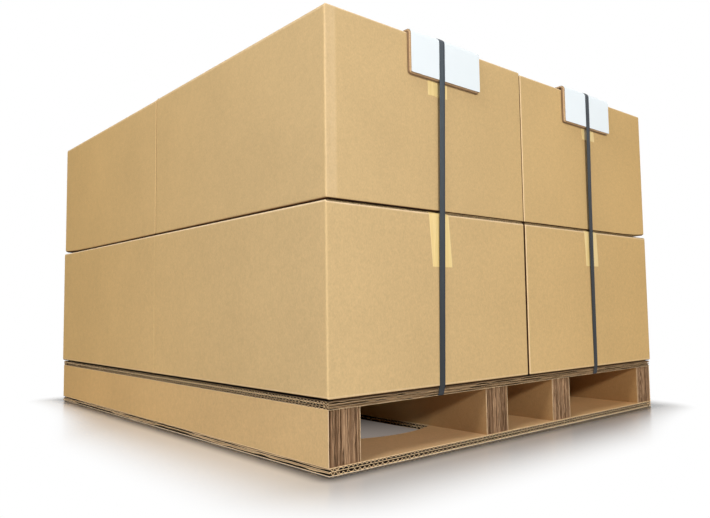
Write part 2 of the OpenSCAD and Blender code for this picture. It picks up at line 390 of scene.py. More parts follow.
def lane_light_and_shade(graph, tone):
    """Paints light and shade into a tone towards the middle of the pallet: painted light in the left fork
    lane, painted shade in the others.
    """
    x, y, z = graph.axes(graph.position())
    depth = (LANE_MOUTH - abs(y)).rise(0.0, LANE_FADE)
    shut = x.rise(*LEFT_LANE_EDGE)
    tone = graph.mix(depth * (1.0 - shut), tone, scaled(KRAFT, 1.3))
    return graph.mix(depth * shut * LANE_SHADE, tone, scaled(GAP_SHADE_BROWN, 0.4))


def carton_finish(name, colour, in_lane=False):
    """Kraft board with pale folds, worn and with painted highlight, and painted shade in gaps, faintly
    ribbed by the flutes below.
    """
    graph = Graph(name, Specular_IOR_Level=0.25)
    tone, height, fibres = kraft_shade(graph, colour)
    if in_lane:
        tone = lane_light_and_shade(graph, tone)
    patchy = graph.noise(graph.position(), 120.0, 3.0, 0.7)
    mark = graph.mark()
    # Above a mark of 0: worn or cut board with painted highlight; below it: painted shade
    tone = graph.mix((mark * (patchy * 1.2 + 0.15)).limited(), tone, KRAFT_EDGE)
    tone = graph.mix((-mark).rise(0.0, 0.55), tone, GAP_SHADE_BROWN)
    tone = graph.mix((-mark).rise(0.45, 1.0), tone, GAP_SHADE_DARK)
    x, y, z = graph.axes(graph.local())
    ribs = ((x + y) * (FULL_TURN / CARTON_FLUTE)).sine()
    relief = graph.bump(height + ribs * 0.10, 0.18 * MM, 0.6)
    return graph.finish(Base_Color=tone, Roughness=fibres * 0.10 + 0.74, Normal=relief)


def deck_finish():
    """Liner of the decks, cream where it is cut, with painted shade inside the flutes and on its covered
    border.
    """
    graph = Graph("deck_kraft", Specular_IOR_Level=0.25)
    tone, height, fibres = kraft_shade(graph, KRAFT_DECK, 1.2)
    tone = lane_light_and_shade(graph, tone)
    patchy = graph.noise(graph.position(), 90.0, 3.0, 0.7)
    mark = graph.mark()
    tone = graph.mix((mark * (patchy * 1.1 + 0.45)).limited(), tone, CUT_CREAM)
    # Painted shade below a mark of 0
    tone = graph.mix((-mark).limited(), tone, CELL_DARK)
    relief = graph.bump(height, 0.2 * MM, 0.6)
    return graph.finish(Base_Color=tone, Roughness=fibres * 0.1 + 0.76, Normal=relief)


def cut_finish(name, light, dark, stretch, cut=None):
    """Torn pulp and flutes, streaked along the sheet; a cut colour shows where the sheet is marked, and on
    the guards' plies this colour is painted shade.
    """
    graph = Graph(name, Specular_IOR_Level=0.15)
    place_at = graph.position()
    streaks = graph.noise(place_at, 160.0, 3.0, 0.7, stretch)
    grain = graph.noise(place_at, 900.0, 2.0, 0.6)
    tone = graph.mix((streaks * 0.75 + grain * 0.25).rise(0.30, 0.70), dark, light)
    if cut:
        tone = graph.mix((graph.mark() * (streaks * 0.9 + 0.5)).lowest(1.0), tone, cut)
    relief = graph.bump(grain, 0.2 * MM, 0.7)
    return graph.finish(Base_Color=tone, Roughness=0.88 - grain * 0.06, Normal=relief)


def tape_finish():
    """Yellowish packing film, streaked along its length, with painted highlight along its edges."""
    graph = Graph("carton_tape_film", Roughness=0.34, Specular_IOR_Level=0.45)
    place_at = graph.position()
    streaks = graph.noise(place_at, 60.0, 3.0, 0.6, (6.0, 1.0, 0.25))
    blotches = graph.noise(place_at, 45.0, 2.0)
    tone = graph.mix(streaks.rise(0.3, 0.7), TAPE_DEEP, TAPE_PALE)
    tone = graph.mix(blotches.rise(0.55, 0.8) * 0.35, tone, TAPE_BLOTCH)
    # Painted highlight along the edges
    tone = graph.mix(graph.mark() * 0.45, tone, TAPE_EDGE_HIGHLIGHT)
    ripples = graph.noise(place_at, 90.0, 2.0, 0.5, (1.0, 1.0, 0.4))
    return graph.finish(Base_Color=tone, Normal=graph.bump(ripples, 0.3 * MM, 0.5))


def guard_paper_finish(name, light_factor):
    """Smooth white paper with a cold tinge; a light factor above 1 paints light on it."""
    graph = Graph(name, Specular_IOR_Level=0.25)
    place_at = graph.position()
    fibres = graph.noise(place_at, 500.0, 3.0, 0.6)
    clouds = graph.noise(place_at, 14.0, 2.0)
    mottled = clouds * 0.5 + fibres * 0.5
    tone = graph.mix(mottled, scaled(GUARD_GREY, light_factor), scaled(GUARD_WHITE, light_factor))
    relief = graph.bump(fibres, 0.1 * MM, 0.5)
    return graph.finish(Base_Color=tone, Roughness=fibres * 0.1 + 0.48, Normal=relief)


def strap_finish():
    """Grey embossed plastic, scuffed lengthwise, with painted shade low down, to the right and on one side.
    """
    graph = Graph("strap_plastic", Specular_IOR_Level=0.30)
    place_at = graph.position()
    x, y, z = graph.axes(place_at)
    scuffs = graph.noise(place_at, 60.0, 4.0, 0.7, (10.0, 1.0, 0.5))
    tone = graph.mix(scuffs.rise(0.35, 0.75), STRAP_DARK, STRAP_SCUFFED)
    # Painted shade: darker low down and to the right
    strap_shade = 0.95 - z.rise(0.05, 0.70) * 0.80 + x.rise(-0.2, 0.2) * 0.50
    tone = graph.mix(strap_shade.lowest(1.0), tone, STRAP_SHADED)
    # Painted shade on the right side of the strap, which turns away
    tone = graph.mix(graph.mark().rise(0.66, 0.86) * 0.75, tone, STRAP_SIDE_SHADE)
    turns = FULL_TURN / STRAP_WAFFLE
    waffle = ((x + z + y) * turns).sine() * ((x - z - y) * turns).sine()
    relief = graph.bump(waffle * 0.5 + scuffs * 0.5, 0.12 * MM, 0.5)
    return graph.finish(Base_Color=tone, Roughness=scuffs * 0.2 + 0.42, Normal=relief)


carton_board = carton_finish("carton_kraft", KRAFT)
runner_skin = carton_finish("runner_kraft", tinted(KRAFT, RUNNER_TINT))
# Runner sides in the fork lanes: darker kraft with the painted light and shade of the lanes
shaded_lane_board = carton_finish("lane_kraft_shaded", KRAFT_LANE_SHADED, True)
deck_board = deck_finish()
torn_board = cut_finish("torn_flutes", TORN_LIGHT, TORN_DARK, UPRIGHT_TEARS, CUT_CREAM)
# Flute paper in near-black painted shade, cream where it is cut
flute_board = cut_finish("flute_board", CELL_LIGHT, CELL_DARK, EVEN_GRAIN, CUT_CREAM)
runner_cut = cut_finish("runner_cut_board", RUNNER_LIGHT, RUNNER_DARK, LAYERED, RUNNER_CREAM)
runner_core = cut_finish("runner_core", CORE_LIGHT, CORE_DARK, LAYERED)
tape_film = tape_finish()
guard_paper = guard_paper_finish("guard_white_paper", 1.0)
guard_paper_lit = guard_paper_finish("guard_paper_painted_light", GUARD_PAINTED_LIGHT)
guard_pulp = cut_finish("guard_pulp", PULP_LIGHT, PULP_DARK, ACROSS_PLIES, PULP_SHADED)
strap_plastic = strap_finish()


# Decks

LINER_SLOT = 0
FLUTE_SLOT = 1
TORN_SLOT = 2
LINER_STEP = 6.0 * MM
LINER_NOTCH = 0.7 * MM
FLUTE_NOTCH = 1.2 * MM
NOTCH_LENGTH = 4.0 * MM
STEPS_PER_FLUTE = 11
ARCH = 0.55
EDGE_FLUTES = 2
EDGE_ROWS = 100
EDGE_STEPS = 9
EDGE_INSET = 1.0 * MM
EDGE_FRAY = 0.7 * MM
FRAY_LENGTH = 9.0 * MM
SLOW_DRIFT = 420.0 * MM
QUICK_DRIFT = 70.0 * MM
PATCH_LENGTH = 110.0 * MM
FLUTE_DRIFT = 60.0 * MM
COMB_DEPTH = 8.0 * MM
COMB_STEPS = 8
COMB_DRIFT = 50.0 * MM
# Width of the painted shade along the edges of the top deck's covered upper liner
BORDER = 26.0 * MM

# Wheel holes in the bottom deck
HOLE_WIDTH = 205.0 * MM
HOLE_LENGTH = 362.0 * MM
HOLE_BOW = 230.0 * MM
HOLE_CENTRES_X = (-235.7 * MM, 249.7 * MM)
HOLE_CENTRES_Y = (-304.6 * MM, 304.6 * MM)

# Plies are shares of the room between the liners, lowest first, and flutes are the lengths of their waves.
# Across is the axis that the flutes repeat along, and the cut along the flutes is as pale as paleness says.
DECKS = {
    "bottom_deck": SimpleNamespace(
        liner=0.68 * MM, medium=0.68 * MM, plies=(0.55, 0.45), flutes=(10.2 * MM, 9.0 * MM),
        pierced=True, across=0, seed=200, paleness=0.7, wander=0.3),
    "top_deck": SimpleNamespace(
        liner=0.42 * MM, medium=0.45 * MM, plies=(1 / 3,) * 3, flutes=(9.0 * MM,) * 3,
        pierced=False, across=1, seed=100, paleness=0.32, wander=1.0),
}


def hole_reach(x):
    """Half the length of a wheel hole at a place across its width, measured from its middle."""
    return HOLE_LENGTH / 2 - HOLE_BOW + np.sqrt(HOLE_BOW ** 2 - x ** 2)


def columns_between(start, end, step):
    """Places across a sheet, with one close to each end so that a cut edge keeps its own shade."""
    inner = np.linspace(start, end, max(2, int(round((end - start) / step)) + 1))[1:-1]
    return np.concatenate([[start, start + CUT_DEPTH], inner, [end - CUT_DEPTH, end]])


def flute_wave(phase):
    """Height of a pressed flute between -1 and 1: broad arches on narrow feet, one to a unit of phase."""
    return 2.0 * np.abs(np.sin(math.pi * phase)) ** ARCH - 1.0


def deck_grid(deck, columns, rows, level):
    """Points of a deck's sheet from the places across its flutes, along them and upwards."""
    if deck.across:
        return grid_of(rows, columns, level)
    return grid_of(columns, rows, level)


def span_groups(deck, low, high, step, margin):
    """Columns across a deck, in groups that each cross the same stretches of board."""
    if not deck.pierced:
        return [(columns_between(low, high, step), None)]
    groups = []
    edge = low
    half = HOLE_WIDTH / 2 + margin
    for centre in HOLE_CENTRES_X:
        groups.append((columns_between(edge, centre - half, step), None))
        groups.append((columns_between(centre - half, centre + half, step), centre))
        edge = centre + half
    groups.append((columns_between(edge, high, step), None))
    return groups


def board_spans(columns, centre, near, far):
    """Start and end of each stretch of board along the columns; wheel holes part it into three."""
    if centre is None:
        return [(near, far)]
    reach = hole_reach(np.clip(columns - centre, -HOLE_WIDTH / 2, HOLE_WIDTH / 2))
    front, back = HOLE_CENTRES_Y
    return [(near, front - reach), (front + reach, back - reach), (back + reach, far)]


def add_layer(shape, deck, low, high, height, thickness, step, slot, seed, notch, margin=0.0,
              shades=(0.0, 0.0), border=0.0, edge_mark=1.0, end_mark=1.0):
    """One paper layer of a deck; its height is a function of the place across the flutes.

    The shades are the marks of its upper and lower side, below 0 for painted shade inside the board, and a
    border of painted shade goes on the upper side.
    """
    run = 1 - deck.across
    edges = (low[deck.across], high[deck.across])
    straight = hole_reach(HOLE_WIDTH / 2)
    for columns, centre in span_groups(deck, *edges, step, margin):
        near = low[run] + notch * notches(seed, columns / NOTCH_LENGTH)
        far = high[run] - notch * notches(seed + 1, columns / NOTCH_LENGTH)
        level = height(columns)[:, None]
        for start, end in board_spans(columns, centre, near, far):
            rows = [start, start + CUT_DEPTH, end - CUT_DEPTH, end]
            sides = [[end_mark, shade, shade, end_mark] for shade in shades]
            rim = []
            if border:
                rows[2:2] = [start + border, start + 1.5 * border, end - 1.5 * border, end - border]
                upper_side = [-0.5, -1.0, -1.0, 0.0, 0.0, -1.0, -1.0, -0.5]
                sides = [upper_side, [-0.5] + [shades[1]] * 6 + [-0.5]]
            elif deck.pierced and slot == LINER_SLOT and centre is None:
                for middle in HOLE_CENTRES_Y:
                    for y in (-straight - CUT_DEPTH, -straight, straight, straight + CUT_DEPTH):
                        rows.insert(-2, np.full(len(columns), y + middle))
                sides = [[1.0] + [shade] * 10 + [1.0] for shade in shades]
                rim = [3, 4, 7, 8]
            grid = deck_grid(deck, columns[:, None], np.stack(rows, 1), level)
            upper, lower = [np.tile(side, (len(columns), 1)) for side in sides]
            if slot == LINER_SLOT:
                for mark in (upper, lower):
                    mark[np.isin(columns, edges)] = edge_mark
                    mark[0, rim] = 1.0
                    mark[-1, rim] = 1.0
            if border:
                inside = np.minimum(columns - edges[0], edges[1] - columns)
                upper[(inside > 0) & (inside < 1.2 * border), 1:-1] = -1.0
            if deck.across:
                upper, lower = lower, upper
            shape.sheet(grid, thickness, slot, mark=upper, under=lower)


def add_edge_flutes(shape, deck, edge, inward, run_low, run_high, base, swing, pitch, seed):
    """The outermost flutes along a deck edge, which wander so that the cut crosses them slantwise."""
    rows = np.linspace(run_low + EDGE_INSET, run_high - EDGE_INSET, EDGE_ROWS)
    rows = np.concatenate([[rows[0] - CUT_DEPTH], rows, [rows[-1] + CUT_DEPTH]])
    columns = np.linspace(0.0, EDGE_FLUTES * pitch, EDGE_STEPS * EDGE_FLUTES + 1)[:, None]
    drift = 0.8 * wobble(seed, rows / SLOW_DRIFT) + 0.25 * wobble(seed + 1, rows / QUICK_DRIFT)
    drift = deck.wander * drift
    fray = EDGE_FRAY * notches(seed + 2, rows / FRAY_LENGTH) * (1 - columns / columns[-1])
    level = base + swing * np.sin(FULL_TURN * (columns / pitch + drift))
    grid = deck_grid(deck, edge + inward * (columns + fray), rows, level)
    fading = np.clip(0.53 - 0.09 * np.arange(len(columns)), 0.10, 1.0)[:, None] * deck.paleness
    mark = fading * (1.0 + 0.5 * wobble(seed + 4, rows / PATCH_LENGTH))
    mark[0] = 0.95 * deck.paleness
    mark[:, [0, -1]] = 0.9
    shape.sheet(grid, deck.medium, TORN_SLOT, mark=mark)


def add_hole_comb(shape, deck, base, swing, pitch, seed):
    """Short flutes across the straight sides of the wheel holes, open towards the hole."""
    straight = float(hole_reach(HOLE_WIDTH / 2))
    depth = np.array([0.0, CUT_DEPTH, COMB_DEPTH])[:, None]
    mark = np.array([1.0, 0.35, 0.05])[:, None]
    for number, centre_x in enumerate(HOLE_CENTRES_X):
        for side in (-1, 1):
            for centre_y in HOLE_CENTRES_Y:
                count = int(2 * straight / pitch * COMB_STEPS)
                rows = np.linspace(centre_y - straight, centre_y + straight, count)
                phase = rows / pitch + 0.2 * wobble(seed + number, rows / COMB_DRIFT)
                across = centre_x + side * (HOLE_WIDTH / 2 + depth)
                grid = grid_of(across, rows, base + swing * flute_wave(phase))
                shape.sheet(grid, deck.medium, FLUTE_SLOT, mark=mark)


def add_board(shape, deck, low, high):
    """A corrugated board: flat liners with a fluted sheet between each two of them."""
    across = deck.across
    run = 1 - across
    last = len(deck.plies)
    room = high[2] - low[2] - deck.liner * (last + 1)
    level = low[2]
    for ply in range(last + 1):
        covered = ply == last and not deck.pierced
        edge_mark = deck.paleness if ply else 1.0

        def flat(columns, middle=level + deck.liner / 2):
            return np.full(len(columns), middle)

        # Liner sides inside the board and the covered liner's edges take painted shade
        add_layer(shape, deck, low, high, flat, deck.liner, LINER_STEP, LINER_SLOT, deck.seed + 10 * ply,
                  LINER_NOTCH, shades=(-1.0 if ply < last else 0.0, -1.0 if ply else 0.0),
                  border=BORDER if covered else 0.0, edge_mark=-0.5 if covered else edge_mark,
                  end_mark=1.0 if deck.pierced or not ply else 0.25)
        level += deck.liner
        if ply == last:
            break
        gap = room * deck.plies[ply]
        base = level + gap / 2
        swing = (gap - deck.medium) / 2
        pitch = deck.flutes[ply]

        def wave(columns, base=base, swing=swing, pitch=pitch, ply=ply):
            drift = 0.22 * wobble(deck.seed + ply, columns / FLUTE_DRIFT)
            phase = columns / pitch + drift + 0.27 * ply
            return base + swing * flute_wave(phase) * (1 if ply % 2 else -1)

        inner_low = low.copy()
        inner_high = high.copy()
        inner_low[across] += EDGE_FLUTES * pitch
        inner_high[across] -= EDGE_FLUTES * pitch
        add_layer(shape, deck, inner_low, inner_high, wave, deck.medium, pitch / STEPS_PER_FLUTE,
                  FLUTE_SLOT, deck.seed + 10 * ply + 5, FLUTE_NOTCH, COMB_DEPTH)
        for edge, inward in ((low[across], 1), (high[across], -1)):
            add_edge_flutes(shape, deck, edge, inward, low[run], high[run], base, swing, pitch,
                            deck.seed + 50 + 10 * ply + inward)
        if deck.pierced:
            add_hole_comb(shape, deck, base, swing, pitch, deck.seed + 80 + 10 * ply)
        level += gap


def make_deck(node, deck):
    low, high = [np.array(corner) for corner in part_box(node)]
    shape = Shape()
    add_board(shape, deck, low, high)
    place(shape.build(node + "_board", [deck_board, flute_board, torn_board]), node)


# Runners

RUNNER_LAYERS = 12
RUNNER_FLUTE = 8.6 * MM
RUNNER_LEVELS = 19
RUNNER_CUT = 13.0 * MM
RUNNER_LIPS = np.array([0.0, 0.5 * MM, 2.0 * MM, RUNNER_CUT])
LIP_PALENESS = np.array([1.0, 0.8, 0.25, 0.0])
SKIN_PALENESS = np.array([0.9, 0.5, 0.0, 0.0])
SKIN_FRAY = 0.2 * MM
LAYER_FRAY = 1.1 * MM
LAYER_WANDER = 0.22
LAYER_BEND = 110.0 * MM
LAYER_NOTCH = 25.0 * MM
LAYER_PATCH = 30.0 * MM
TORN_DROPS = (0.0, 1.2 * MM, 3.0 * MM)
TORN_FRAY = 1.6 * MM
TORN_NOTCH = 20.0 * MM
TORN_DRIFT = 160.0 * MM
TORN_PALE = 5.0 * MM
OUT_SLOT = 0
LAYER_SLOT = 1
CORE_SLOT = 2
LANE_SLOT = 3
RUNNERS = {"runner_left_outer": 0, "runner_left_inner": None, "runner_right_inner": None,
           "runner_right_outer": RUNNER_LAYERS}


def add_runner_liners(shape, low, pitch, levels, ends, rng, seed, open_side):
    """The liners at both ends of a runner: frayed and wavy inside, straight at the two outer faces."""
    fade = 1 - RUNNER_LIPS / RUNNER_CUT
    for layer in range(RUNNER_LAYERS + 1):
        outer = layer in (0, RUNNER_LAYERS)
        x = low.x + layer * pitch
        thickness = LINER
        if outer:
            x += LINER / 2 * (1 if layer == 0 else -1)
        else:
            thickness = LINER * rng.uniform(1.2, 2.6)
        pale = rng.choice((0.25, 0.45, 0.7, 1.0))
        wander = 0.0 if outer else LAYER_WANDER * pitch
        fray = SKIN_FRAY if outer else LAYER_FRAY
        bent = wander * wobble(seed * 31 + layer, levels / LAYER_BEND)
        notch = fray * notches(seed * 57 + layer, levels / LAYER_NOTCH)
        slot = LAYER_SLOT
        mark = pale * LIP_PALENESS * (0.75 + 0.25 * wobble(seed * 13 + layer, levels / LAYER_PATCH))
        if outer:
            slot = OUT_SLOT if layer == open_side else LANE_SLOT
            mark = SKIN_PALENESS
        for start, inward in ends:
            grid = grid_of(x + bent * fade, start + inward * (RUNNER_LIPS + notch * fade), levels)
            shape.sheet(grid, thickness, slot, mark=mark)


def add_runner_flutes(shape, low, high, pitch, levels, ends, rng, seed):
    """The fluted sheets between the liners; some end short of the top."""
    swing = pitch / 2 - LINER
    steps = np.linspace(0.0, RUNNER_CUT, 15)[:, None]
    for layer in range(RUNNER_LAYERS):
        middle = low.x + (layer + 0.5) * pitch
        drift = 0.30 * wobble(seed * 91 + layer, levels / TORN_DRIFT)
        notch = TORN_FRAY * notches(seed * 77 + layer, levels / TORN_NOTCH)
        for start, inward in ends:
            drop = rng.choice(TORN_DROPS)
            heights = np.linspace(low.z, high.z - drop, len(levels))
            turn = FULL_TURN * (steps / RUNNER_FLUTE + rng.uniform(0, 1) + drift)
            along = start + inward * (steps + notch * (1 - steps / RUNNER_CUT))
            grid = grid_of(middle + swing * np.sin(turn), along, heights)
            mark = rng.uniform(0.15, 0.75) * np.clip(1 - steps / TORN_PALE, 0, 1)
            shape.sheet(grid, MEDIUM * 1.3, LAYER_SLOT, mark=mark)


def make_runner(node, seed, open_side):
    """Upright strips of board glued side by side; their cut ends show liners and open flutes.

    The layer on the open side faces out of the pallet; the other sides face a fork lane and take its
    painted shade.
    """
    low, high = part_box(node)
    shape = Shape()
    rng = np.random.default_rng(seed)
    pitch = (high.x - low.x) / RUNNER_LAYERS
    levels = np.linspace(low.z, high.z, RUNNER_LEVELS)
    ends = ((low.y, 1.0), (high.y, -1.0))
    add_runner_liners(shape, low, pitch, levels[:, None], ends, rng, seed, open_side)
    for layer, x in ((0, low.x + LINER / 2), (RUNNER_LAYERS, high.x - LINER / 2)):
        grid = grid_of(x, [low.y + RUNNER_CUT, high.y - RUNNER_CUT], [[low.z], [high.z]])
        shape.sheet(grid, LINER, OUT_SLOT if layer == open_side else LANE_SLOT)
    add_runner_flutes(shape, low, high, pitch, levels, ends, rng, seed)
    # A dark block stands for the shade deep inside the runner
    inset = Vector((LINER, 0.75 * RUNNER_CUT, 0.0))
    shape.block(low + inset, high - inset, CORE_SLOT)
    finishes = [runner_skin, runner_cut, runner_core, shaded_lane_board]
    place(shape.build(node + "_board", finishes), node)


# Cartons

BOARD = 4.0 * MM
FLAP_GAP = 3.0 * MM
SHORT_TOP_RADIUS = 2.2 * MM
SHORT_BOTTOM_RADIUS = 3.0 * MM
CORNER_RADIUS = 3.2 * MM
JOINT_WIDTH = 20.0 * MM
JOINT_STEP = 0.35 * MM
TUCK = 20.0 * MM
PLAY = 0.3 * MM
TOP_FLAP_CUT = 0.25
FLUTE_SHOWN = 14.0 * MM
FLAP_COLUMNS = 24
FLAP_STEPS = 9
FLAP_NOTCH = 0.4 * MM
FLAP_FRAY = 0.8 * MM
FLAP_DRIFT = 70.0 * MM
CORNER_LIFT = 5.0 * MM
LIFT_REACH = 95.0 * MM
ARC_STEPS = 9
WALL_STEPS = np.array([3.0, 8.0, 16.0, 20.5, 22.0, 50.0, 100.0, 200.0, 300.0]) * MM
WALL_SHARES = (0.04, 0.08, 0.3, 0.5, 0.7, 0.92, 0.96)

# How the cartons of each layer are folded. Lifts, steps and insets are of the folds and long flaps.
# Wear and painted highlight make folds pale; shade_from and close_from say where painted shade darkens a
# bottom fold or inner corner.
BUILDS = {
    "lower": SimpleNamespace(
        top_radius=2.0 * MM, top_step=1.8 * MM, bottom_radius=2.0 * MM, bottom_lift=3.9 * MM,
        bottom_step=2.3 * MM, flap_lift=0.6 * MM, flap_inset=14.0 * MM, side_corner=0.6 * MM,
        fold_wear_and_highlight=1.0, corner_wear_and_highlight=0.03, bottom_wear_and_highlight=0.55, side_shade=0.0,
        shade_from=0.5, close_from=0.12, bottom_cut_shade=-0.5),
    "upper": SimpleNamespace(
        top_radius=7.0 * MM, top_step=0.8 * MM, bottom_radius=6.0 * MM, bottom_lift=0.0,
        bottom_step=1.6 * MM, flap_lift=0.0, flap_inset=5.85 * MM, side_corner=2.5 * MM,
        fold_wear_and_highlight=0.4, corner_wear_and_highlight=0.08, bottom_wear_and_highlight=0.0, side_shade=0.6,
        shade_from=0.45, close_from=0.72, bottom_cut_shade=0.0),
}
CORNERS = ("front_left", "front_right", "back_left", "back_right")

# Sag in mm at the front left, front right, back left and back right corner of a top
USUAL_SAG = (1.2, 1.2, 1.2, 1.2)
SAGS = {
    "upper_front_left": (-0.3, -0.6, 2.2, 2.0),
    "upper_front_right": (3.0, 1.0, 3.0, 2.0),
    "upper_back_left": (3.2, 2.0, 5.0, 3.0),
    "upper_back_right": (2.0, 2.0, 3.0, 3.0),
}

# Setback in mm of the left and right flaps from the wall, at the bottom and then at the top
SETBACKS = {
    "lower_front_left": (5.0, 5.0, 4.5, 2.5),
    "upper_front_left": (7.0, 1.2, 4.5, 4.5),
    "lower_front_right": (5.0, 5.0, 3.0, 4.0),
    "upper_front_right": (3.0, 2.0, 4.5, 4.5),
}
USUAL_SETBACKS = (2.5, 2.5, 4.5, 4.5)
JOINTED = "upper_front_left"
CURLED = {"upper_back_left": (-1, 1), "upper_front_right": (1, -1)}


def sag_over(size, sag):
    """How far a carton's top lies below its full height, from the sag at its four corners in mm."""
    front_left, front_right, back_left, back_right = sag

    def drop(x, y):
        across = np.clip(x / size.x + 0.5, 0, 1)
        along = np.clip(y / size.y + 0.5, 0, 1)
        front = front_left + (front_right - front_left) * across
        back = back_left + (back_right - back_left) * across
        return (front + (back - front) * along) * MM

    return drop


def carton_plan(width, depth, radii):
    """Points round a carton, their outward normals, and how far each is a side with long flaps.

    The radii are those of the corners right back, left back, left front and right front.
    """
    points = []
    normals = []
    sides = []
    arc = np.linspace(0, QUARTER_TURN, ARC_STEPS)
    for side in range(4):
        start = radii[side - 1]
        radius = radii[side]
        long_side = side % 2 == 0
        length = (depth if long_side else width) - start - radius
        along = np.concatenate([WALL_STEPS, [0.5 * length], length - WALL_STEPS[::-1]])
        along = np.concatenate([[0.0], along[(along > 0) & (along < length)], [length]])
        along = np.unique(np.round(along, 6))
        turn = side * QUARTER_TURN
        outward = np.array([math.cos(turn), math.sin(turn)])
        forward = np.array([-math.sin(turn), math.cos(turn)])
        reach = (width if long_side else depth) / 2
        half = (depth if long_side else width) / 2
        for step in along:
            points.append(outward * reach + forward * (step + start - half))
            normals.append(outward)
            sides.append(1.0 if long_side else 0.0)
        centre = outward * (reach - radius) + forward * (half - radius)
        for angle in arc[1:-1]:
            direction = outward * math.cos(angle) + forward * math.sin(angle)
            points.append(centre + direction * radius)
            normals.append(direction)
            share = 0.5 - 0.5 * math.cos(2 * angle)
            sides.append(1.0 - share if long_side else share)
    return np.array(points), np.array(normals), np.array(sides)


def corner_lift(size, corner, x, y):
    """How far one bottom corner of an upper carton curls up off the carton below."""
    if corner is None:
        return np.zeros(np.shape(x))
    reach = np.hypot(size.x / 2 - corner[0] * x, 0.6 * (size.y / 2 - corner[1] * y))
    return CORNER_LIFT * np.clip(1 - reach / LIFT_REACH, 0, 1) ** 2


def wall_marks(build, normals, sides, inner):
    """Wear and painted highlight of the upright corners, and the painted shade of the wall where the next
    carton stands close to it.
    """
    upright = build.corner_wear_and_highlight * np.clip(1 - np.abs(sides - 0.5) * 2, 0, 1) ** 2
    beside = normals[:, 0] * inner[0]
    behind = normals[:, 1] * inner[1]
    seam_wear_and_highlight = 0.1 if inner[0] > 0 else 0.8
    close_from = build.close_from if inner[0] > 0 else 0.72
    # Painted highlight along the seams beside the next carton
    upright = upright + seam_wear_and_highlight * np.clip(1 - np.abs(beside - 0.4) / 0.4, 0, 1)
    # Painted shade where the next carton stands close, and behind it as side_shade says
    close = np.clip((beside - close_from) / 0.2, 0, 1)
    close = close + build.side_shade * np.clip((behind - 0.72) / 0.2, 0, 1)
    return upright, np.clip(close, 0, 1)


def add_carton_walls(shape, size, build, drop, curled, jointed, inner):
    """The four walls, folded over at the top and bottom; the short flaps go under the long ones.

    Inner gives the directions across and along in which the next carton stands, close to the wall.
    """
    width, depth, height = size
    radii = []
    for corner in ((1, 1), (-1, 1), (-1, -1), (1, -1)):
        beside = corner[1] == inner[1] and corner[0] != inner[0]
        radii.append(build.side_corner if beside else CORNER_RADIUS)
    plan, normals, sides = carton_plan(width, depth, radii)
    count = len(plan)
    top = height - drop(plan[:, 0], plan[:, 1])
    upright, close = wall_marks(build, normals, sides, inner)
    turns = np.linspace(0, QUARTER_TURN, ARC_STEPS)
    rings = []
    marks = []

    def blend(on_long_sides, on_short_sides):
        return on_short_sides + (on_long_sides - on_short_sides) * sides

    def ring(z, inset, wear_and_shading=0.0):
        rings.append(np.column_stack([plan - normals * np.broadcast_to(inset, count)[:, None], z]))
        wear_and_shading = np.broadcast_to(wear_and_shading, count)
        shown = np.where(wear_and_shading < 0, wear_and_shading, np.maximum(upright, wear_and_shading))
        # Painted shade where the next carton is close
        marks.append(shown - close * (1 + shown))

    lift = corner_lift(size, curled, plan[:, 0], plan[:, 1])
    bottom = blend(build.bottom_lift, build.bottom_step) + lift
    bottom_radius = blend(build.bottom_radius, SHORT_BOTTOM_RADIUS)
    bottom_tuck = blend(BOARD + PLAY, 0.1 * MM)
    fold_top = top - blend(0.0, build.top_step)
    top_radius = blend(build.top_radius, SHORT_TOP_RADIUS)
    top_tuck = blend(BOARD + PLAY, BOARD - build.top_step + PLAY)
    shade_from = blend(build.shade_from, max(build.shade_from, 0.5))
    # Painted shade on the tucked-in board and under the bottom fold, with painted highlight on the worn
    # crease
    ring(bottom + bottom_tuck, bottom_radius + TUCK, -1.0)
    ring(bottom + bottom_tuck, bottom_radius + 1.0 * MM, -1.0)
    for turn in turns[::-1]:
        shaded = np.clip((turn - shade_from) / 0.5, 0, 1)
        wear_and_shading = build.bottom_wear_and_highlight * np.clip(1 - abs(turn - 0.3) / 0.3, 0, 1) - shaded
        ring(bottom + bottom_radius * (1 - math.sin(turn)), bottom_radius * (1 - math.cos(turn)), wear_and_shading)
    ring(bottom + bottom_radius + 0.5 * MM, 0.0, 0.8 * build.bottom_wear_and_highlight)
    ring(bottom + bottom_radius + 2.0 * MM, 0.0)
    for share in WALL_SHARES:
        ring(bottom + share * (top - bottom), 0.0)
    ring(fold_top - top_radius - 1.4 * MM, 0.0)
    # Worn top fold with painted highlight
    ring(fold_top - top_radius - 0.4 * MM, 0.0, blend(build.fold_wear_and_highlight, 0.5) * build.fold_wear_and_highlight)
    for turn in turns:
        wear_and_shading = blend(build.fold_wear_and_highlight, 0.75) * math.cos(turn * 0.9 - 0.5)
        ring(fold_top - top_radius * (1 - math.sin(turn)), top_radius * (1 - math.cos(turn)), wear_and_shading)
    ring(fold_top - top_tuck, top_radius + 3.0 * MM)
    ring(fold_top - top_tuck, top_radius + TUCK)
    points = np.array(rings)
    wear_and_shading = np.array(marks)
    if jointed:
        edge = np.minimum(points[:, :, 2], height - points[:, :, 2])
        band = (points[:, :, 0] < -width / 2 + JOINT_WIDTH) & (points[:, :, 1] < -depth / 2 + 1 * MM)
        points[:, :, 1] += np.where(band & (edge > 8 * MM), JOINT_STEP, 0.0)
        wear_and_shading = np.where(band & (wear_and_shading >= 0), np.maximum(wear_and_shading, 0.20), wear_and_shading)
    index = np.arange(points.shape[0] * count).reshape(points.shape[0], count)
    following = np.roll(index, -1, axis=1)
    faces = np.stack([index[:-1], following[:-1], following[1:], index[1:]], -1).reshape(-1, 4).tolist()
    shape.add(points.reshape(-1, 3), faces, 0, wear_and_shading.reshape(-1))


